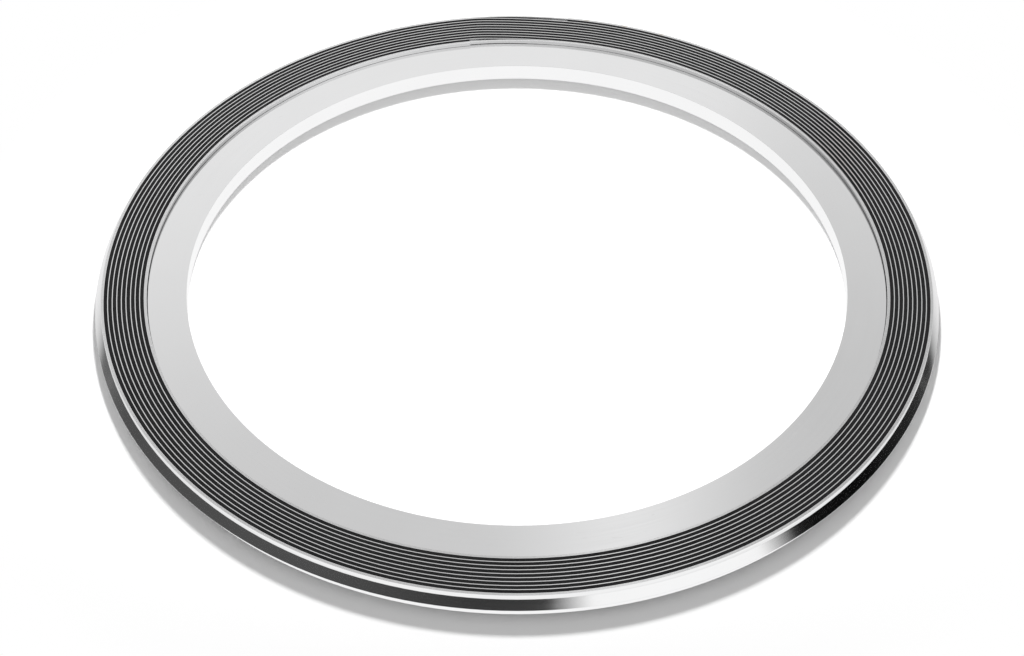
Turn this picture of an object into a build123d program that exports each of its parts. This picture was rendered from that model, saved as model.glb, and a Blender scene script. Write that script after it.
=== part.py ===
"""Spiral wound gasket: a sealing winding of V-shaped steel strip and soft graphite, with a solid inner ring.

One long steel strip, rolled to a V, is wound up on itself. Graphite tape lies between its turns, apart from
the first and last ones, which are bare steel. The inner ring sits in the groove that the first turn leaves.

Origin: the centre of the lower sealing face. +Z: the gasket's axis. Lengths in millimetres, angles in degrees.
"""

import os
from math import cos, radians, sin

from build123d import *

# Inner ring
BORE_RADIUS = 56.5
RING_WIDTH = 6.63  # from the bore to the straight part of the outer edge
RING_THICKNESS = 3.1
RING_PLAY = 0.05  # radial gap between the ring's edge and the winding's groove
NOSE_RADIUS = 0.3
RING_EDGE_BREAK = 0.06
BORE_EDGE_BREAK = 0.08

# Winding
WINDING_THICKNESS = 4.5
STRIP_THICKNESS = 0.15
STRIP_SETBACK = 0.01  # how far the steel's edges lie below the graphite, on each face
FILLER_THICKNESS = 0.62
BARE_PLAY = 0.02  # gap between two turns that have no graphite between them
V_DEPTH = 1.2
V_HEIGHT = 2.6
BARE_TURNS_INSIDE = 3
FILLER_TURNS = 9
BARE_TURNS_OUTSIDE = 3

# Climb: each turn is a circle, and ends in a short climb onto the turn it has just laid
CLIMB_ANGLE = 90.0
CLIMB_HALF_WIDTH = 8.0

# Spot welds that hold the strip's first and last turns to their neighbours
WELD_RADIUS = 0.35
WELD_DIMPLE = 0.04
WELDS_PER_END = 3
WELD_FROM_END = 3.0
WELD_SPACING = 6.0

RING_EDGE_RADIUS = BORE_RADIUS + RING_WIDTH
WINDING_INNER_RADIUS = RING_EDGE_RADIUS + RING_PLAY
MID_HEIGHT = WINDING_THICKNESS / 2
STRIP_HEIGHT = WINDING_THICKNESS - 2 * STRIP_SETBACK
BARE_PITCH = STRIP_THICKNESS + BARE_PLAY
FILLED_PITCH = STRIP_THICKNESS + FILLER_THICKNESS
TURN_START = CLIMB_ANGLE + CLIMB_HALF_WIDTH
TURN_END = CLIMB_ANGLE - CLIMB_HALF_WIDTH
TURN_ARC = 360 - 2 * CLIMB_HALF_WIDTH
INNER_STEPS = [BARE_PITCH] * (BARE_TURNS_INSIDE - 1)
FILLED_STEPS = [FILLED_PITCH] * FILLER_TURNS
OUTER_STEPS = [BARE_PITCH] * (BARE_TURNS_OUTSIDE - 1)
STRIP_STEPS = INNER_STEPS + FILLED_STEPS + OUTER_STEPS
FILLER_INNER_RADIUS = WINDING_INNER_RADIUS + sum(INNER_STEPS) + STRIP_THICKNESS
LAST_TURN_RADIUS = WINDING_INNER_RADIUS + sum(STRIP_STEPS)
FIRST_WELD_RADIUS = WINDING_INNER_RADIUS + STRIP_THICKNESS / 2
LAST_WELD_RADIUS = LAST_TURN_RADIUS - BARE_PITCH + STRIP_THICKNESS / 2
DIMPLE_RADIUS = (WELD_RADIUS**2 + WELD_DIMPLE**2) / (2 * WELD_DIMPLE)


def point_at(radius, angle):
    """The point at a distance from the gasket's axis, in the direction of an angle."""
    return (radius * cos(radians(angle)), radius * sin(radians(angle)))


def section_plane(radius, angle):
    """An upright plane through the axis, with its origin at mid height, X outwards and Y up."""
    out_x, out_y = point_at(1, angle)
    return Plane(origin=(*point_at(radius, angle), MID_HEIGHT), x_dir=(out_x, out_y, 0), z_dir=(out_y, -out_x, 0))


def tape_middle(inner_radius, thickness):
    """The radius halfway across a turn of tape, from its inner side to the tip of its V."""
    return inner_radius + (V_DEPTH + thickness) / 2


def tape_section(thickness, height):
    """A tape's cross-section around its middle: straight edges above and below a V that points outwards."""
    inner = -(V_DEPTH + thickness) / 2
    outer = inner + thickness
    with BuildSketch() as section:
        with BuildLine():
            half = Polyline(
                (inner + V_DEPTH, 0),
                (inner, V_HEIGHT / 2),
                (inner, height / 2),
                (outer, height / 2),
                (outer, V_HEIGHT / 2),
                (outer + V_DEPTH, 0),
            )
            mirror(half, about=Plane.XZ)
        make_face()
    return section.sketch


def climb(radius, step):
    """Two arcs that carry a turn out by one step, tangent to the circles before and after them."""
    shift = step / (2 * (1 - cos(radians(CLIMB_HALF_WIDTH))))
    CenterArc(point_at(-shift, TURN_END), radius + shift, TURN_END, CLIMB_HALF_WIDTH)
    CenterArc(point_at(shift, TURN_START), radius + step - shift, CLIMB_ANGLE, CLIMB_HALF_WIDTH)


def spiral(radius, steps):
    """The plan of a wound tape: circles joined by climbs, one circle more than there are steps."""
    with BuildLine() as plan:
        CenterArc((0, 0), radius, TURN_START, TURN_ARC)
        for step in steps:
            climb(radius, step)
            radius += step
            CenterArc((0, 0), radius, TURN_START, TURN_ARC)
    return plan.wire()


def ring_section():
    """The inner ring's cross-section: flat faces, a straight bore and a blunt V nose on the outer edge."""
    with BuildSketch() as section:
        with BuildLine():
            half = Polyline(
                (RING_EDGE_RADIUS + V_DEPTH, 0),
                (RING_EDGE_RADIUS, V_HEIGHT / 2),
                (RING_EDGE_RADIUS, RING_THICKNESS / 2),
                (BORE_RADIUS, RING_THICKNESS / 2),
            )
            mirror(half, about=Plane.XZ)
            Line((BORE_RADIUS, RING_THICKNESS / 2), (BORE_RADIUS, -RING_THICKNESS / 2))
        make_face()
        chamfer(section.vertices().group_by(Axis.X)[0], BORE_EDGE_BREAK)
        levels = section.vertices().group_by(Axis.Y)
        outer_corners = [level.sort_by(Axis.X)[-1] for level in (levels[0], levels[-1])]
        chamfer(outer_corners, RING_EDGE_BREAK)
        fillet(section.vertices().sort_by(Axis.X)[-1], NOSE_RADIUS)
    return section.sketch


def leg_planes(radius, angle):
    """Two planes that face outwards, at the middle of a tape's straight edges below and above the V."""
    out_x, out_y = point_at(1, angle)
    drop = (V_HEIGHT + STRIP_HEIGHT) / 4
    heights = (MID_HEIGHT - drop, MID_HEIGHT + drop)
    return [Plane(origin=(*point_at(radius, angle), z), z_dir=(out_x, out_y, 0)) for z in heights]


# Steel strip
with BuildPart() as winding_strip:
    strip_middle = tape_middle(WINDING_INNER_RADIUS, STRIP_THICKNESS)
    with BuildSketch(section_plane(strip_middle, TURN_START)):
        add(tape_section(STRIP_THICKNESS, STRIP_HEIGHT))
    sweep(path=spiral(strip_middle, STRIP_STEPS))
    # Spot welds join the first turn to the second, and the last turn to the one below it
    for i in range(WELDS_PER_END):
        from_end = WELD_FROM_END + i * WELD_SPACING
        nuggets = leg_planes(FIRST_WELD_RADIUS, TURN_START + from_end)
        nuggets += leg_planes(LAST_WELD_RADIUS, TURN_END - from_end)
        for plane in nuggets:
            with BuildSketch(plane):
                Circle(WELD_RADIUS)
        extrude(amount=BARE_PITCH)
        for plane in leg_planes(LAST_TURN_RADIUS + STRIP_THICKNESS, TURN_END - from_end):
            with Locations(plane.offset(DIMPLE_RADIUS - WELD_DIMPLE)):
                Sphere(DIMPLE_RADIUS, mode=Mode.SUBTRACT)
winding_strip.part.label = "winding_strip"

# Graphite tape between the strip's turns
with BuildPart() as graphite_filler:
    filler_middle = tape_middle(FILLER_INNER_RADIUS, FILLER_THICKNESS)
    with BuildSketch(section_plane(filler_middle, TURN_START)):
        add(tape_section(FILLER_THICKNESS, WINDING_THICKNESS))
    sweep(path=spiral(filler_middle, FILLED_STEPS[:-1]))
graphite_filler.part.label = "graphite_filler"

# Inner ring
with BuildPart() as inner_ring:
    with BuildSketch(section_plane(0, 0)):
        add(ring_section())
    revolve(axis=Axis.Z)
inner_ring.part.label = "inner_ring"

os.makedirs("parts", exist_ok=True)
for piece in (winding_strip, graphite_filler, inner_ring):
    export_step(piece.part, f"parts/{piece.part.label}.step")
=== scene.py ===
from math import cos, pi, radians, sin, tan

import bpy
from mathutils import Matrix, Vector


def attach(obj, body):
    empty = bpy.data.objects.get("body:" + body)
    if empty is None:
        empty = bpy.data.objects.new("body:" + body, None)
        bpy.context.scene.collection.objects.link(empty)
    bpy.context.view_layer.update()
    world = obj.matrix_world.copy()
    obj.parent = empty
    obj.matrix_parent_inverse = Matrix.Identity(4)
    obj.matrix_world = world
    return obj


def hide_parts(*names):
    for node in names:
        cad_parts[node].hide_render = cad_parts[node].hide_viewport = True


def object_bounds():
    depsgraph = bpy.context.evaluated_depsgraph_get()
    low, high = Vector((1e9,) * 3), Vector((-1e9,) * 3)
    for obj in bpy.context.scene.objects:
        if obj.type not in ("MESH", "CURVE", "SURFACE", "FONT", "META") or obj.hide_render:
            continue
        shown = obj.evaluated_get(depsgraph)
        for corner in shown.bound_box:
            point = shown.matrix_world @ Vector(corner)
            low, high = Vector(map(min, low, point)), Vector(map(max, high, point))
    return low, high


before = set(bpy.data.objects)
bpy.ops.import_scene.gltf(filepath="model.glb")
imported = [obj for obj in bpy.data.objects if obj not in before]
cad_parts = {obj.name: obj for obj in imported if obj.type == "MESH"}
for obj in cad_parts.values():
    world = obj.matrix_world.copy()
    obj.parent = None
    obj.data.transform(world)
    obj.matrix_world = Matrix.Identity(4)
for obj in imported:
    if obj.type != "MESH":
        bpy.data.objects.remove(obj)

# A spiral wound gasket on a white floor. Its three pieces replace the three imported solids, on the same plan.
# Their sections have rounded bends and edges, and a V that is 0.04 mm taller on each side.
# Angles are in degrees, anticlockwise from +X.

CAD_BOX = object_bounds()
LOW, HIGH = CAD_BOX
RADIUS = HIGH.x
TOP = HIGH.z
MM = 0.001

# Sections of the gasket, in millimetres, around the middle of its height
MID_HEIGHT = (LOW.z + HIGH.z) / 2 / MM
BORE_RADIUS = 56.5
RING_WIDTH = 6.63  # from the bore to the straight part of the outer edge
RING_THICKNESS = 3.1
RING_EDGE_ROUND = 0.08
BORE_EDGE_ROUND = 0.03
NOSE_RADIUS = 0.3
RING_PLAY = 0.05  # between the ring's edge and the winding's groove
STRIP_THICKNESS = 0.15
STRIP_HEIGHT = 4.48
SLIT_EDGE_ROUND = 0.01
FILLER_THICKNESS = 0.62
FILLER_HEIGHT = 4.5
FILLER_EDGE_ROUND = 0.03
V_DEPTH = 1.2
V_HEIGHT = 2.68
BEND_RADIUS = 0.06
BARE_PLAY = 0.02  # between two turns that have no graphite between them

# Radii of the tapes' first turns, and the steps from each turn to the next
RING_EDGE_RADIUS = BORE_RADIUS + RING_WIDTH
WINDING_INNER_RADIUS = RING_EDGE_RADIUS + RING_PLAY
BARE_STEPS = [STRIP_THICKNESS + BARE_PLAY] * 2
FILLED_STEPS = [STRIP_THICKNESS + FILLER_THICKNESS] * 9
STRIP_STEPS = BARE_STEPS + FILLED_STEPS + BARE_STEPS
FILLER_INNER_RADIUS = WINDING_INNER_RADIUS + sum(BARE_STEPS) + STRIP_THICKNESS

# Spot welds that show on the last turn's outer side, above and below the V
WELD_ANGLES = (67, 73, 79)
WALL_RADIUS = WINDING_INNER_RADIUS + sum(STRIP_STEPS) + STRIP_THICKNESS
WELD_HEIGHT = 1.77  # from the middle of the height
WELD_RADIUS = 0.35
WELD_DEPTH = 0.04
DIMPLE_SIDES = 16
DIMPLE_RINGS = 4

# Each turn is a circle that ends in a short climb, at the back of the gasket
CLIMB_ANGLE = 90
CLIMB_HALF_WIDTH = 8
TURN_START = CLIMB_ANGLE + CLIMB_HALF_WIDTH
TURN_END = CLIMB_ANGLE - CLIMB_HALF_WIDTH
TURN_ARC = 360 - 2 * CLIMB_HALF_WIDTH
STATION_ANGLE = 2.0

# Finish of the steel
STEEL_TONE = (0.922, 0.922, 0.925)
STAINED_SHARE = 0.985  # a stain's tone, as a share of the clean steel's
STAIN_SCALE = 90.0
RING_ROUGHNESS = 0.12
RING_LINES_PER_METRE = 2600.0
STRIP_ROUGHNESS = 0.1
STRIP_LINES_PER_METRE = 3500.0
LINES_ALONG = 3.0
LINE_DEPTH = 0.002 * MM
LINE_BUMP = 0.35
LINE_DULLING = 0.2  # how far the lines change the roughness up and down, as a share
SCRATCHES_ALONG = 40.0
SCRATCH_PEAKS = (0.68, 0.8)  # a scratch begins where the noise passes the first, and is full at the second
SCRATCH_DULLING = 0.05
SCRATCH_DEPTH = 0.6  # as a share of a line's depth
LINES_UP = 1.7  # how much quicker the lines change up a piece than across it

# Straw tint of a spot weld, which grows and fades with the distance from its middle, in metres
HEAT_TINT = (0.55, 0.43, 0.28, 1)
HEAT_SHARE = 0.5
HEAT_GROWS = (0.25 * MM, 0.4 * MM)
HEAT_FADES = (0.4 * MM, 0.9 * MM)

# Finish of the graphite
GRAPHITE_DARK = (0.009, 0.009, 0.0095, 1)
GRAPHITE_PALE = (0.02, 0.02, 0.0205, 1)
GRAPHITE_SHEEN = 0.08
GRAPHITE_TONES = (0.35, 0.65)  # where the dark and the pale colour are full
GRAPHITE_ROUGHNESS = (0.5, 0.7)
GRAPHITE_BUMP = 0.4
FLAKE_SCALE = 1800.0
FLAKE_SHARE = 0.65  # of flakes in the tone; the rest is streaks
FLAKE_DEPTH = 0.02 * MM
STREAKS_ALONG = 9.0
STREAKS_PER_METRE = 1500.0

NOISE_SPREAD = (0.3, 0.7)  # where most of a noise's values lie

# Camera, placed from the gasket's size
CAMERA_DISTANCE = 5.6246 * RADIUS
CAMERA_ELEVATION = 45.08
CAMERA_LENS = 85.155
AIM = Vector((-0.0118 * RADIUS, -0.1926 * RADIUS, TOP))

# Lamps, and the sky's light on the object
OVERHEAD_POWER = 10.0
OVERHEAD_SIZE = 3.0
OVERHEAD_HEIGHT = 1.5
KEY_POWER = 1.82
KEY_DISTANCE = 5.96 * RADIUS
KEY_ELEVATION = 53.3
KEY_SIZE = 0.06
SKY_ON_OBJECT = 0.25
SKY_OFF_METAL = 0.3
WHITE = 1.0

# Sky in the metal. Its limits are parts of a unit vector that points to the sky.
SKY_IN_METAL = 0.64
SOFTBOX_AZIMUTH = -52
SOFTBOX_SIDES = (0.45, 0.65)
SOFTBOX_FOOT = (0.24, 0.36)
SOFTBOX_HEAD = (0.64, 0.74)
DEEP_SKY_FRONT = 0.7
DEEP_SKY_BACK = 0.4
DEEP_SKY_LEFT = 0.8
DEEP_SKY_RIGHT = 1.12
DEEP_FRONT_TO_BACK = (-0.35, 0.35)
DEEP_LEFT_TO_RIGHT = (-0.5, 0.5)

# Floor. Its limits are distances from the axis, in metres.
FLOOR_COLOUR = 0.95
FLOOR_HALF_SIZE = 4.0
FLOOR_TURNS_PLAIN = (1.1 * RADIUS, 1.4 * RADIUS)
# Painted light: the floor glows a little in the bore and under the ring, in place of the light that the bore
# wall throws back
PAINTED_BORE_GLOW = 0.14
PAINTED_SLOT_GLOW = 0.21
GLOW_GROWS = (0.991 * BORE_RADIUS * MM, 1.013 * BORE_RADIUS * MM)
GLOW_ENDS = 1.06 * BORE_RADIUS * MM
FLOOR_OUTSIDE = 0.9
OUTSIDE_STARTS = (0.98 * RADIUS, 1.1 * RADIUS)
FLOOR_BY_LEFT_FLAG = 0.12
FLOOR_BY_RIGHT_FLAG = 0.02
FLAGS_START = (1.12 * RADIUS, 1.62 * RADIUS)
FLAGS_SIDES = (0.45, 0.8)  # the share of a point's distance that lies to the left or right

# Cards that only the metal sees. The crest is the part of the sky that the outer wall's V mirrors to the
# camera: its height at the front, how quickly it falls to the sides, and how far a trimmed card keeps to it.
CARD_DISTANCE = 20 * RADIUS
CARD_COLUMNS = 96
CARD_ROWS = 32
CREST_HEIGHT = 32
CREST_RATE = 0.79
CREST_MARGIN = 13
CREST_SOFTNESS = 5
LEFT_FLAG_TONE = 0.077
RIGHT_FLAG_TONE = 0.003
BACK_CARD_TONE = 0.85


# Meshes ------------------------------------------------------------------------------------------

def polar(radius, angle):
    """A point in the plan, from its distance to the axis and an angle."""
    return Vector((radius * cos(radians(angle)), radius * sin(radians(angle))))


def turned(vector, swing):
    """A flat vector, turned anticlockwise by an angle in radians."""
    across = vector.x * cos(swing) - vector.y * sin(swing)
    return Vector((across, vector.x * sin(swing) + vector.y * cos(swing)))


def rounded(corners, steps=2):
    """A section with its corners rounded: points and their outward normals, anticlockwise.
    Each corner is (out, up, radius)."""
    points = []
    for i, (x, y, radius) in enumerate(corners):
        corner = Vector((x, y))
        before = (corner - Vector(corners[i - 1][:2])).normalized()
        after = (Vector(corners[(i + 1) % len(corners)][:2]) - corner).normalized()
        side = 1 if before.cross(after) > 0 else -1
        normal = Vector((before.y, -before.x))
        angle = before.angle(after)
        start = corner - before * radius * tan(angle / 2)
        centre = start - normal * radius * side
        for step in range(steps + 1):
            out = turned(normal, side * angle * step / steps)
            points.append((centre + out * radius * side, out))
    return points


def mirrored(half):
    """A whole outline from its upper half, which runs anticlockwise from the outer side to the inner side."""
    lower = [(x, -y, radius) for x, y, radius in reversed(half) if y > 0]
    return half + lower


def tape_section(thickness, height, edge_round):
    """A tape rolled to a V that points outwards. Its inner side is on the tape's path."""
    upper = [
        (thickness + V_DEPTH, 0, BEND_RADIUS),
        (thickness, V_HEIGHT / 2, BEND_RADIUS),
        (thickness, height / 2, edge_round),
        (0, height / 2, edge_round),
        (0, V_HEIGHT / 2, BEND_RADIUS),
        (V_DEPTH, 0, BEND_RADIUS),
    ]
    return rounded(mirrored(upper))


def ring_section():
    """The inner ring: flat faces, a straight bore and a blunt nose on its outer edge."""
    upper = [
        (RING_EDGE_RADIUS + V_DEPTH, 0, NOSE_RADIUS),
        (RING_EDGE_RADIUS, V_HEIGHT / 2, BEND_RADIUS),
        (RING_EDGE_RADIUS, RING_THICKNESS / 2, RING_EDGE_ROUND),
        (BORE_RADIUS, RING_THICKNESS / 2, BORE_EDGE_ROUND),
    ]
    return rounded(mirrored(upper), 3)


def outer_side(section, thickness, height, leeway=0.001):
    """Which side of a tape's section is its straight outer one at a height."""
    for side, (start, _) in enumerate(section):
        end, _ = section[(side + 1) % len(section)]
        upright = max(abs(start.x - thickness), abs(end.x - thickness)) < leeway
        if upright and (start.y - height) * (end.y - height) < 0:
            return side


def arc(centre, radius, start, sweep):
    """Stations along an arc: where the path is, and the direction that is outwards there."""
    count = max(1, round(sweep / STATION_ANGLE))
    stations = []
    for i in range(count):
        out = polar(1, start + sweep * i / count)
        stations.append((centre + out * radius, out))
    return stations


def spiral(radius, steps):
    """The plan of a wound tape: circles joined by climbs, one circle more than there are steps."""
    origin = Vector((0, 0))
    stations = arc(origin, radius, TURN_START, TURN_ARC)
    for step in steps:
        shift = step / (2 * (1 - cos(radians(CLIMB_HALF_WIDTH))))
        stations += arc(polar(-shift, TURN_END), radius + shift, TURN_END, CLIMB_HALF_WIDTH)
        stations += arc(polar(shift, TURN_START), radius + step - shift, CLIMB_ANGLE, CLIMB_HALF_WIDTH)
        radius += step
        stations += arc(origin, radius, TURN_START, TURN_ARC)
    last = polar(1, TURN_END)
    return stations + [(last * radius, last)]


def dimpled(face, points, normals, height):
    """The small faces that put a round weld dimple, at a height in metres, into an upright four-sided face.
    The dimple's points and normals join the lists."""
    start, end, _, start_top = face
    low = Vector(points[start])
    along = Vector(points[end]) - low
    rise = Vector(points[start_top]) - low
    middle = low + along / 2 + rise * (height - low.z) / rise.z
    length = along.length
    along.normalize()
    rise.normalize()
    rings = []
    for ring in range(DIMPLE_RINGS, 0, -1):
        reach = ring / DIMPLE_RINGS
        depth = WELD_DEPTH * (1 - reach ** 2) ** 2
        slope = 4 * WELD_DEPTH / WELD_RADIUS * reach * (1 - reach ** 2)
        rings.append(range(len(points), len(points) + DIMPLE_SIDES))
        for side in range(DIMPLE_SIDES):
            swing = 2 * pi * side / DIMPLE_SIDES
            away = along * cos(swing) + rise * sin(swing)
            share = 0.5 + reach * WELD_RADIUS * MM * cos(swing) / length
            out = Vector(normals[start]).lerp(Vector(normals[end]), share).normalized()
            points.append(tuple(middle + MM * (away * reach * WELD_RADIUS - out * depth)))
            normals.append(tuple((out - away * slope).normalized()))
    centre = len(points)
    out = (Vector(normals[start]) + Vector(normals[end])).normalized()
    points.append(tuple(middle - out * WELD_DEPTH * MM))
    normals.append(tuple(out))
    # A fan from each corner of the face to a quarter of the rim, then the bands between the rings
    faces = []
    quarter = DIMPLE_SIDES // 4
    for i in range(4):
        before, corner = face[(i + 1) % 4], face[(i + 2) % 4]
        faces.append((before, corner, rings[0][i * quarter]))
        for side in range(i * quarter, (i + 1) * quarter):
            faces.append((rings[0][side], corner, rings[0][(side + 1) % DIMPLE_SIDES]))
    for side in range(DIMPLE_SIDES):
        after = (side + 1) % DIMPLE_SIDES
        for outer, inner in zip(rings, rings[1:]):
            faces.append((outer[side], outer[after], inner[after], inner[side]))
        faces.append((rings[-1][side], rings[-1][after], centre))
    return faces


def link_mesh(name, points, faces):
    """A mesh object in the scene."""
    mesh = bpy.data.meshes.new(name)
    mesh.from_pydata(points, [], faces)
    made = bpy.data.objects.new(name, mesh)
    bpy.context.scene.collection.objects.link(made)
    return made


def swept(name, stations, section, closed=False, dimples=None):
    """A mesh of one section carried through its stations, with exact normals. An open one gets flat ends.
    dimples gives the heights of the weld dimples, by station and by side of the section."""
    dimples = dimples or {}
    size = len(section)
    points, normals = [], []
    for place, out in stations:
        for point, normal in section:
            spot = place + out * point.x
            points.append((spot.x * MM, spot.y * MM, (MID_HEIGHT + point.y) * MM))
            normals.append((out.x * normal.x, out.y * normal.x, normal.y))
    faces = []
    spans = len(stations) if closed else len(stations) - 1
    for i in range(spans):
        here, there = i * size, (i + 1) % len(stations) * size
        for j in range(size):
            k = (j + 1) % size
            face = (here + j, there + j, there + k, here + k)
            if (i, j) in dimples:
                faces += dimpled(face, points, normals, dimples[i, j])
            else:
                faces.append(face)
    loops = [normals[v] for face in faces for v in face]
    if not closed:
        for at, order in ((0, 1), (len(stations) - 1, -1)):
            out = stations[at][1]
            faces.append(tuple(at * size + j for j in range(size))[::order])
            loops += [(out.y * order, -out.x * order, 0)] * size
    made = link_mesh(name, points, faces)
    made.data.shade_smooth()
    made.data.normals_split_custom_set(loops)
    return made


# Nodes -------------------------------------------------------------------------------------------

def new_material(name):
    """A material with an empty node tree and its output."""
    material = bpy.data.materials.new(name)
    material.use_nodes = True
    tree = material.node_tree
    tree.nodes.clear()
    return material, tree, tree.nodes.new("ShaderNodeOutputMaterial")


def node(tree, kind, settings=None, **inputs):
    """A node with its settings and inputs. An input is a value or another node's output.
    It goes by the socket's name, or by i and the socket's number."""
    made = tree.nodes.new("ShaderNode" + kind)
    for key, value in (settings or {}).items():
        setattr(made, key, value)
    for key, value in inputs.items():
        numbered = key[0] == "i" and key[1:].isdigit()
        socket = made.inputs[int(key[1:]) if numbered else key.replace("_", " ")]
        if isinstance(value, bpy.types.NodeSocket):
            tree.links.new(value, socket)
        else:
            socket.default_value = value
    return made


def maths(tree, operation, first, second=0.0):
    """One arithmetic step."""
    return node(tree, "Math", {"operation": operation}, i0=first, i1=second).outputs[0]


def remap(tree, value, low, high, to_low, to_high):
    """A value carried from one range to another, clamped."""
    made = node(tree, "MapRange", {"clamp": True}, i0=value, i1=low, i2=high, i3=to_low, i4=to_high)
    return made.outputs[0]


def blend(tree, share, first, second):
    """A colour between two colours."""
    return node(tree, "Mix", {"data_type": "RGBA"}, i0=share, i6=first, i7=second).outputs[2]


def noise(tree, vector, scale, detail=2.0, roughness=0.5):
    """Noise between 0 and 1."""
    made = node(tree, "TexNoise", None, Vector=vector, Scale=scale, Detail=detail, Roughness=roughness)
    return made.outputs[0]


def round_coordinates(tree, along, across):
    """Coordinates that wrap round the axis without a seam: slow along a turn, quick across it and up it.
    The plain place comes with them."""
    place = node(tree, "TexCoord").outputs["Object"]
    flat = node(tree, "VectorMath", {"operation": "MULTIPLY"}, i0=place, i1=(1, 1, 0)).outputs[0]
    radius = node(tree, "VectorMath", {"operation": "LENGTH"}, i0=flat).outputs["Value"]
    outwards = node(tree, "VectorMath", {"operation": "NORMALIZE"}, i0=flat).outputs[0]
    turn = node(tree, "VectorMath", {"operation": "SCALE"}, i0=outwards, Scale=along).outputs[0]
    height = node(tree, "SeparateXYZ", None, Vector=place).outputs["Z"]
    both = maths(tree, "ADD", radius, maths(tree, "MULTIPLY", height, LINES_UP))
    lift = node(tree, "CombineXYZ", None, Z=maths(tree, "MULTIPLY", both, across)).outputs[0]
    return node(tree, "VectorMath", {"operation": "ADD"}, i0=turn, i1=lift).outputs[0], place


# Materials of the gasket -------------------------------------------------------------------------

def weld_distance(tree, place):
    """How far a point is from the nearest spot weld. They are alike above and below the middle."""
    split = node(tree, "SeparateXYZ", None, Vector=place).outputs
    height = maths(tree, "ABSOLUTE", maths(tree, "SUBTRACT", split["Z"], MID_HEIGHT * MM))
    folded = node(tree, "CombineXYZ", None, X=split["X"], Y=split["Y"], Z=height).outputs[0]
    nearest = 1.0
    for angle in WELD_ANGLES:
        weld = (*polar(WALL_RADIUS * MM, angle), WELD_HEIGHT * MM)
        away = node(tree, "VectorMath", {"operation": "DISTANCE"}, i0=folded, i1=weld).outputs["Value"]
        nearest = maths(tree, "MINIMUM", away, nearest)
    return nearest


def heat_tinted(tree, place, colour):
    """A colour with the straw tint of the spot welds."""
    away = weld_distance(tree, place)
    grown = remap(tree, away, *HEAT_GROWS, 0.0, HEAT_SHARE)
    left = remap(tree, away, *HEAT_FADES, 1.0, 0.0)
    return blend(tree, maths(tree, "MULTIPLY", grown, left), colour, HEAT_TINT)


def steel(name, roughness, lines_per_metre, welded=False):
    """Bright stainless steel with fine lines along the turn, faint scratches and slight stains.
    Where it is welded, there is a straw tint round the spots."""
    material, tree, output = new_material(name)
    lined, place = round_coordinates(tree, LINES_ALONG, lines_per_metre)
    lines = noise(tree, lined, 1.0, detail=4.0, roughness=0.6)
    scratched, _ = round_coordinates(tree, SCRATCHES_ALONG, lines_per_metre / 2)
    scratches = remap(tree, noise(tree, scratched, 1.0, detail=1.0), *SCRATCH_PEAKS, 0.0, 1.0)
    clean = remap(tree, noise(tree, place, STAIN_SCALE, detail=3.0), *NOISE_SPREAD, 0.0, 1.0)
    stained_tone = [STAINED_SHARE * part for part in STEEL_TONE]
    colour = blend(tree, clean, (*stained_tone, 1), (*STEEL_TONE, 1))
    if welded:
        colour = heat_tinted(tree, place, colour)
    smoothest, roughest = roughness * (1 - LINE_DULLING), roughness * (1 + LINE_DULLING)
    rough = remap(tree, lines, *NOISE_SPREAD, smoothest, roughest)
    rough = maths(tree, "ADD", rough, maths(tree, "MULTIPLY", scratches, SCRATCH_DULLING))
    height = maths(tree, "SUBTRACT", lines, maths(tree, "MULTIPLY", scratches, SCRATCH_DEPTH))
    bump = node(tree, "Bump", None, Strength=LINE_BUMP, Distance=LINE_DEPTH, Height=height)
    shader = node(
        tree, "BsdfPrincipled", None,
        Base_Color=colour, Metallic=1.0, Roughness=rough, Normal=bump.outputs[0],
    )
    tree.links.new(shader.outputs[0], output.inputs[0])
    return material


def graphite(name):
    """Soft flexible graphite: nearly black, with a dull leafy sheen and pressed flakes."""
    material, tree, output = new_material(name)
    lined, place = round_coordinates(tree, STREAKS_ALONG, STREAKS_PER_METRE)
    flakes = noise(tree, place, FLAKE_SCALE, detail=3.0, roughness=0.6)
    streaks = noise(tree, lined, 1.0)
    flake_part = maths(tree, "MULTIPLY", flakes, FLAKE_SHARE)
    tone = maths(tree, "ADD", flake_part, maths(tree, "MULTIPLY", streaks, 1 - FLAKE_SHARE))
    colour = blend(tree, remap(tree, tone, *GRAPHITE_TONES, 0.0, 1.0), GRAPHITE_DARK, GRAPHITE_PALE)
    rough = remap(tree, flakes, *NOISE_SPREAD, *GRAPHITE_ROUGHNESS)
    bump = node(tree, "Bump", None, Strength=GRAPHITE_BUMP, Distance=FLAKE_DEPTH, Height=tone)
    shader = node(
        tree, "BsdfPrincipled", None,
        Base_Color=colour, Roughness=rough, Normal=bump.outputs[0], Specular_IOR_Level=GRAPHITE_SHEEN,
    )
    tree.links.new(shader.outputs[0], output.inputs[0])
    return material


# Pieces of the gasket ----------------------------------------------------------------------------

def place_piece(piece, replaced, material):
    """Hangs a finished piece on the model."""
    piece.data.materials.append(material)
    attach(piece, "root")
    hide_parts(replaced)


def make_ring():
    """The solid inner ring, turned all over."""
    ring = swept("turned_ring", arc(Vector((0, 0)), 0, 0, 360), ring_section(), closed=True)
    place_piece(ring, "inner_ring", steel("ring_steel", RING_ROUGHNESS, RING_LINES_PER_METRE))


def make_strip():
    """The wound steel strip, in one length."""
    path = spiral(WINDING_INNER_RADIUS, STRIP_STEPS)
    section = tape_section(STRIP_THICKNESS, STRIP_HEIGHT, SLIT_EDGE_ROUND)
    dimples = {}
    for angle in WELD_ANGLES:
        station = len(path) - 2 - int((TURN_END - angle) / STATION_ANGLE)
        for height in (WELD_HEIGHT, -WELD_HEIGHT):
            side = outer_side(section, STRIP_THICKNESS, height)
            dimples[station, side] = (MID_HEIGHT + height) * MM
    strip = swept("wound_strip", path, section, dimples=dimples)
    material = steel("strip_steel", STRIP_ROUGHNESS, STRIP_LINES_PER_METRE, welded=True)
    place_piece(strip, "winding_strip", material)


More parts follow.
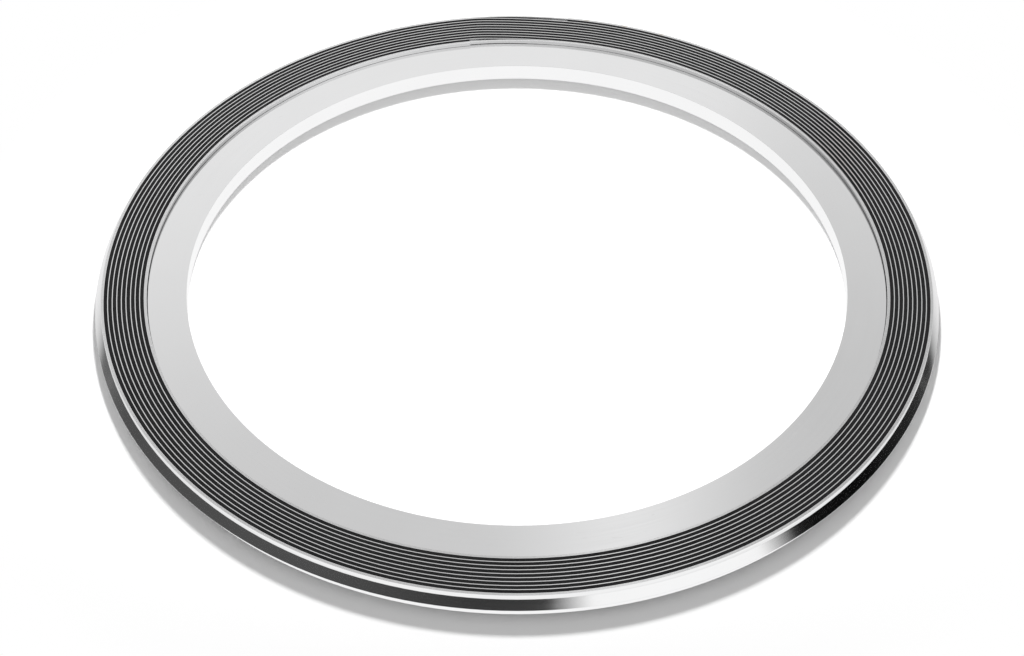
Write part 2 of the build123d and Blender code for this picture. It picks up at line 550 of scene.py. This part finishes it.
def make_filler():
    """The graphite tape between the strip's turns."""
    section = tape_section(FILLER_THICKNESS, FILLER_HEIGHT, FILLER_EDGE_ROUND)
    filler = swept("wound_graphite", spiral(FILLER_INNER_RADIUS, FILLED_STEPS[:-1]), section)
    place_piece(filler, "graphite_filler", graphite("graphite"))


# Studio ------------------------------------------------------------------------------------------

def direction(azimuth, elevation):
    """A unit vector: azimuth from +X towards +Y, elevation above the floor."""
    flat = cos(radians(elevation))
    return Vector((cos(radians(azimuth)) * flat, sin(radians(azimuth)) * flat, sin(radians(elevation))))


def seen_in_metal(tree):
    """1 for the rays that see the studio directly in metal or through glass."""
    path = node(tree, "LightPath")
    seen = maths(tree, "MAXIMUM", path.outputs["Is Glossy Ray"], path.outputs["Is Transmission Ray"])
    direct = maths(tree, "LESS_THAN", path.outputs["Diffuse Depth"], 0.5)
    return maths(tree, "MULTIPLY", seen, direct)


def first_reflection(tree, depth):
    """1 for a ray no deeper than a first reflection, whose depth reads 1 on a surface and 2 in the sky."""
    return maths(tree, "LESS_THAN", node(tree, "LightPath").outputs["Ray Depth"], depth + 0.5)


def floor_in_metal(tree, place, far):
    """The floor's brightness in the metal: white, a little greyer outside the gasket, dark by the flags."""
    side = node(tree, "SeparateXYZ", None, Vector=place).outputs["X"]
    sideways = maths(tree, "DIVIDE", maths(tree, "ABSOLUTE", side), maths(tree, "ADD", far, MM))
    beside = remap(tree, sideways, *FLAGS_SIDES, 0.0, 1.0)
    away = remap(tree, far, *FLAGS_START, 0.0, 1.0)
    by_flags = remap(tree, side, -RADIUS, RADIUS, FLOOR_BY_LEFT_FLAG, FLOOR_BY_RIGHT_FLAG)
    outside = remap(tree, far, *OUTSIDE_STARTS, WHITE, FLOOR_OUTSIDE)
    return remap(tree, maths(tree, "MULTIPLY", beside, away), 0.0, 1.0, outside, by_flags)


def make_floor():
    """A white floor. Close by it holds the object's shadow, and in the bore it has a little painted glow,
    which stands in for the light that the bore wall throws back. Further out it is plain white. The metal sees
    it without the shadow."""
    signs = ((-1, -1), (1, -1), (1, 1), (-1, 1))
    corners = [(x * FLOOR_HALF_SIZE, y * FLOOR_HALF_SIZE, LOW.z) for x, y in signs]
    floor = link_mesh("floor", corners, [(0, 1, 2, 3)])
    material, tree, output = new_material("floor_white")
    place = node(tree, "TexCoord").outputs["Object"]
    far = node(tree, "VectorMath", {"operation": "LENGTH"}, i0=place).outputs["Value"]
    diffuse = node(tree, "BsdfDiffuse", None, Color=(FLOOR_COLOUR, FLOOR_COLOUR, FLOOR_COLOUR, 1))
    # A painted glow on the floor in the bore and under the ring, in place of the light that the bore wall
    # throws back
    within = maths(tree, "LESS_THAN", far, GLOW_ENDS)
    painted_bounce = remap(tree, far, *GLOW_GROWS, PAINTED_BORE_GLOW, PAINTED_SLOT_GLOW)
    glow = node(tree, "Emission", None, Strength=maths(tree, "MULTIPLY", within, painted_bounce))
    lit = node(tree, "AddShader", None, i0=diffuse.outputs[0], i1=glow.outputs[0])
    in_metal = seen_in_metal(tree)
    level = remap(tree, in_metal, 0.0, 1.0, WHITE, floor_in_metal(tree, place, far))
    plain = node(tree, "Emission", None, Strength=level)
    share = maths(tree, "MAXIMUM", remap(tree, far, *FLOOR_TURNS_PLAIN, 0.0, 1.0), in_metal)
    mixed = node(tree, "MixShader", None, i0=share, i1=lit.outputs[0], i2=plain.outputs[0])
    tree.links.new(mixed.outputs[0], output.inputs[0])
    material.cycles.emission_sampling = "NONE"
    floor.data.materials.append(material)


def mirrored_sky(tree, towards):
    """The sky's brightness to the camera and in a first reflection: pale grey, with a white softbox at the
    front right."""
    middle = direction(SOFTBOX_AZIMUTH, 0)
    facing = node(tree, "VectorMath", {"operation": "DOT_PRODUCT"}, i0=towards, i1=middle)
    height = node(tree, "SeparateXYZ", None, Vector=towards).outputs["Z"]
    beside = remap(tree, facing.outputs["Value"], *SOFTBOX_SIDES, 0.0, 1.0)
    above = remap(tree, height, *SOFTBOX_FOOT, 0.0, 1.0)
    below = remap(tree, height, *SOFTBOX_HEAD, 1.0, 0.0)
    softbox = maths(tree, "MULTIPLY", maths(tree, "MULTIPLY", beside, above), below)
    return remap(tree, softbox, 0.0, 1.0, SKY_IN_METAL, WHITE)


def deep_sky(tree, towards):
    """The sky's brightness in a deeper reflection: brighter to the front and the right."""
    split = node(tree, "SeparateXYZ", None, Vector=towards).outputs
    lengthways = remap(tree, split["Y"], *DEEP_FRONT_TO_BACK, DEEP_SKY_FRONT, DEEP_SKY_BACK)
    sideways = remap(tree, split["X"], *DEEP_LEFT_TO_RIGHT, DEEP_SKY_LEFT, DEEP_SKY_RIGHT)
    return maths(tree, "MULTIPLY", lengthways, sideways)


def make_sky():
    """A sky that is even where it lights. The metal sees a grey one with a white softbox, so that the ring
    stands out from the white ground. A camera low down, which looks past the floor, sees that one too."""
    world = bpy.data.worlds.new("studio")
    bpy.context.scene.world = world
    world.use_nodes = True
    tree = world.node_tree
    tree.nodes.clear()
    path = node(tree, "LightPath")
    seen = maths(tree, "MAXIMUM", seen_in_metal(tree), path.outputs["Is Camera Ray"])
    towards = node(tree, "TexCoord").outputs["Generated"]
    first = first_reflection(tree, 2)
    shown = remap(tree, first, 0.0, 1.0, deep_sky(tree, towards), mirrored_sky(tree, towards))
    lighting = remap(tree, path.outputs["Is Glossy Ray"], 0.0, 1.0, SKY_ON_OBJECT, SKY_OFF_METAL)
    strength = remap(tree, seen, 0.0, 1.0, lighting, shown)
    background = node(tree, "Background", None, Color=(1, 1, 1, 1), Strength=strength)
    node(tree, "OutputWorld", None, Surface=background.outputs[0])
    world.cycles.sampling_method = "NONE"


def ramp(value, start, end):
    """0 up to the start, 1 from the end, and a straight change between them. The end may be the lower one."""
    return min(max((value - start) / (end - start), 0), 1)


def fade(value, low, high, soft_low, soft_high):
    """1 between two limits, falling to 0 over a soft margin inside each."""
    return min(ramp(value, low, low + soft_low), ramp(value, high, high - soft_high))


def crest(azimuth):
    """About the elevation of the sky that the outer wall's V mirrors to the camera, at an azimuth."""
    return CREST_HEIGHT * cos(radians(CREST_RATE * (azimuth + 90)))


def make_card(name, azimuths, soft_azimuths, elevations, soft_elevations, tone_at, trimmed=False):
    """A soft-edged card that only reflections see, bent round the object at a distance.
    tone_at gives its brightness at an azimuth and an elevation. A trimmed one keeps close to the crest."""
    points, faces, covers, tones = [], [], [], []
    for i in range(CARD_COLUMNS + 1):
        azimuth = azimuths[0] + (azimuths[1] - azimuths[0]) * i / CARD_COLUMNS
        for j in range(CARD_ROWS + 1):
            elevation = elevations[0] + (elevations[1] - elevations[0]) * j / CARD_ROWS
            cover = fade(azimuth, *azimuths, *soft_azimuths) * fade(elevation, *elevations, *soft_elevations)
            if trimmed:
                off_crest = abs(elevation - crest(azimuth))
                cover *= ramp(off_crest, CREST_MARGIN, CREST_MARGIN - CREST_SOFTNESS)
            points.append(CARD_DISTANCE * direction(azimuth, elevation))
            covers.append(cover)
            tones.append(tone_at(azimuth, elevation))
    for i in range(CARD_COLUMNS):
        for j in range(CARD_ROWS):
            corner = i * (CARD_ROWS + 1) + j
            faces.append((corner, corner + 1, corner + CARD_ROWS + 2, corner + CARD_ROWS + 1))
    card = link_mesh(name, points, faces)
    for key, values in (("cover", covers), ("tone", tones)):
        card.data.attributes.new(key, "FLOAT", "POINT").data.foreach_set("value", values)
    material, tree, output = new_material(name)
    cover = node(tree, "Attribute", {"attribute_name": "cover"}).outputs["Fac"]
    tone = node(tree, "Attribute", {"attribute_name": "tone"}).outputs["Fac"]
    clear = node(tree, "BsdfTransparent")
    glow = node(tree, "Emission", None, Strength=tone)
    seen = maths(tree, "MULTIPLY", cover, first_reflection(tree, 1))
    mixed = node(tree, "MixShader", None, i0=seen, i1=clear.outputs[0], i2=glow.outputs[0])
    tree.links.new(mixed.outputs[0], output.inputs[0])
    material.cycles.emission_sampling = "NONE"
    card.data.materials.append(material)
    card.visible_camera = False
    card.visible_diffuse = False
    card.visible_shadow = False


def left_tone(azimuth, elevation):
    """Dark grey, a little lighter near the floor and darker towards the camera."""
    near_floor = 0.05 * ramp(elevation, 5, 0)
    near_camera = 0.037 * ramp(azimuth, -138, -100)
    return LEFT_FLAG_TONE + near_floor - near_camera


def right_tone(azimuth, elevation):
    """Black, with a rise in two steps away from the camera."""
    first_step = 0.02 * ramp(azimuth, -4, 18)
    second_step = 0.03 * ramp(azimuth, 15, 26)
    return RIGHT_FLAG_TONE + first_step + second_step


def back_tone(azimuth, elevation):
    """Pale at the bottom, greyer at the top and the right, with a soft bright seam near its middle."""
    top = 0.22 * ramp(elevation + 4 * ramp(azimuth, 84, 79), 40, 49.5)
    right = 0.05 * ramp(azimuth, 83, 79)
    seam = 0.27 * ramp(elevation, 44, 48) * ramp(abs(azimuth - 84.3), 6.5, 0)
    return BACK_CARD_TONE - top - right + seam


def make_lamp(name, size, power, azimuth, elevation, distance):
    """A round lamp that faces the gasket and isn't seen in the metal."""
    light = bpy.data.lights.new(name, "AREA")
    light.shape = "DISK"
    light.size = size
    light.energy = power
    lamp = bpy.data.objects.new(name, light)
    lamp.location = distance * direction(azimuth, elevation)
    lamp.rotation_euler = lamp.location.to_track_quat("Z", "Y").to_euler()
    lamp.visible_glossy = False
    bpy.context.scene.collection.objects.link(lamp)


def make_camera():
    """The camera at the photograph's angle."""
    camera = bpy.data.objects.new("camera", bpy.data.cameras.new("camera"))
    camera.data.lens = CAMERA_LENS
    back = direction(-90, CAMERA_ELEVATION)
    camera.location = AIM + CAMERA_DISTANCE * back
    camera.rotation_euler = back.to_track_quat("Z", "Y").to_euler()
    bpy.context.scene.collection.objects.link(camera)
    bpy.context.scene.camera = camera


make_ring()
make_strip()
make_filler()
make_floor()
make_sky()
make_card(
    "left_flag", azimuths=(-232, -72.5), soft_azimuths=(12, 10),
    elevations=(-1, 52), soft_elevations=(1, 8), tone_at=left_tone, trimmed=True,
)
make_card(
    "right_flag", azimuths=(-32.5, 49.5), soft_azimuths=(8.5, 9),
    elevations=(-1, 52), soft_elevations=(1, 8), tone_at=right_tone, trimmed=True,
)
make_card(
    "back_card", azimuths=(58, 122), soft_azimuths=(6, 6),
    elevations=(28, 60), soft_elevations=(4, 4), tone_at=back_tone,
)
make_lamp("overhead", OVERHEAD_SIZE, OVERHEAD_POWER, 0, 90, OVERHEAD_HEIGHT)
make_lamp("key", KEY_SIZE, KEY_POWER, 90, KEY_ELEVATION, KEY_DISTANCE)
make_camera()
bpy.context.scene.view_settings.view_transform = "Standard"
